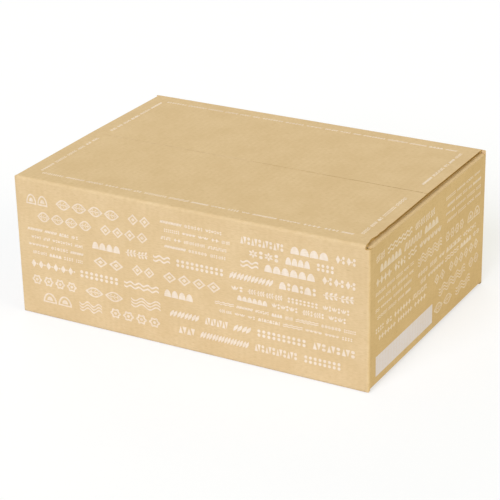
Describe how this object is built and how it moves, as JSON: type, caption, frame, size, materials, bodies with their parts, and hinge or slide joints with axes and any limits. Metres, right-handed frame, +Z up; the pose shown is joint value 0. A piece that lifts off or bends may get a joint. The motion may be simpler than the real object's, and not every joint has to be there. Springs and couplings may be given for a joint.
{
  "type": "corrugated shipping carton",
  "caption": "Closed shipping carton of kraft corrugated board, with two outer top flaps that open, inner flaps folded under them and white printed rows.",
  "frame": {"origin": "on the floor under the middle of the closed box", "axes": "+X along the front wall towards the wall with the writing field, the front wall faces -Y, +Z up"},
  "size_m": [0.3852, 0.2682, 0.1478],
  "materials": {
    "kraft_board": "matt kraft facing",
    "white_ink": "thin matt ink with the kraft showing through",
    "field_ink": "full matt white ink",
    "glue": "dried glue"
  },
  "bodies": {
    "box": {"carton": "kraft_board", "tab_glue": "glue", "bottom_glue": "glue", "front_wall_print": "white_ink", "rear_wall_print": "white_ink", "left_wall_print": "white_ink", "right_wall_print": "white_ink", "writing_field": "field_ink"},
    "front_lid": {"front_flap": "kraft_board", "front_flap_print": "white_ink"},
    "rear_lid": {"rear_flap": "kraft_board", "rear_flap_print": "white_ink"}
  },
  "joints": [
    {"name": "front_flap_fold", "type": "hinge", "parent": "box", "child": "front_lid", "pos_m": [0, -0.134, 0.147], "axis": [1, 0, 0], "range_deg": [0, 250]},
    {"name": "rear_flap_fold", "type": "hinge", "parent": "box", "child": "rear_lid", "pos_m": [0, 0.134, 0.147], "axis": [-1, 0, 0], "range_deg": [0, 250]}
  ]
}
